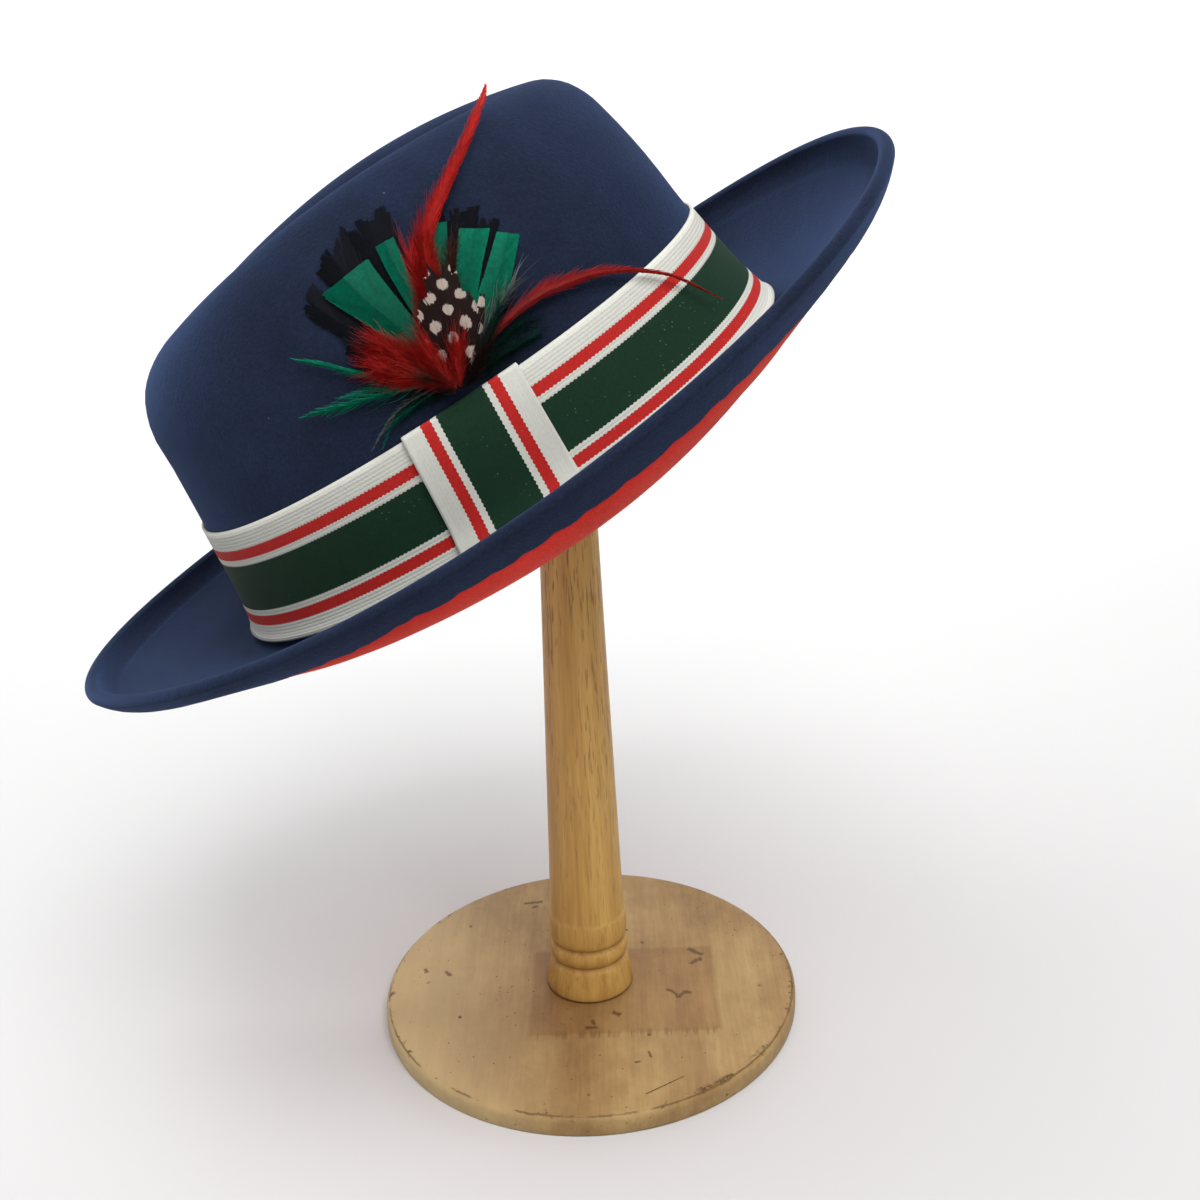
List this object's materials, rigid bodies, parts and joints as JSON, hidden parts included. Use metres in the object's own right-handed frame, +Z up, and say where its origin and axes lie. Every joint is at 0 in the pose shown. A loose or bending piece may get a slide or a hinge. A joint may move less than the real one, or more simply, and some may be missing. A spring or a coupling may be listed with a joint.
{
  "type": "fedora on a wooden display stand",
  "caption": "Felt fedora with a curled brim, ribbon band, keeper and feather trim, hung front-down on a turned wooden post with a round base.",
  "frame": {"origin": "centre of the base's underside", "axes": "+Z up along the post, -X towards the hat's front, -Y towards the side with the feather trim"},
  "size_m": [0.2774, 0.238, 0.347],
  "materials": {
    "navy_felt": "matt wool felt",
    "red_felt": "matt red felt",
    "sweatband": "smooth red woven strip",
    "ribbon": "striped woven ribbon",
    "black_feather": "soft matt",
    "green_feather": "soft satin",
    "red_feather": "soft satin",
    "spotted_feather": "soft matt with pale dots",
    "base_wood": "worn satin varnish",
    "post_wood": "satin varnish"
  },
  "bodies": {
    "root": {"felt_body": "navy_felt", "red_lining": "red_felt", "sweatband": "sweatband", "hat_band": "ribbon", "band_keeper": "ribbon", "black_feathers": "black_feather", "green_feathers": "green_feather", "red_feathers": "red_feather", "guinea_feather": "spotted_feather", "stand_base": "base_wood", "stand_post": "post_wood"}
  },
  "joints": []
}
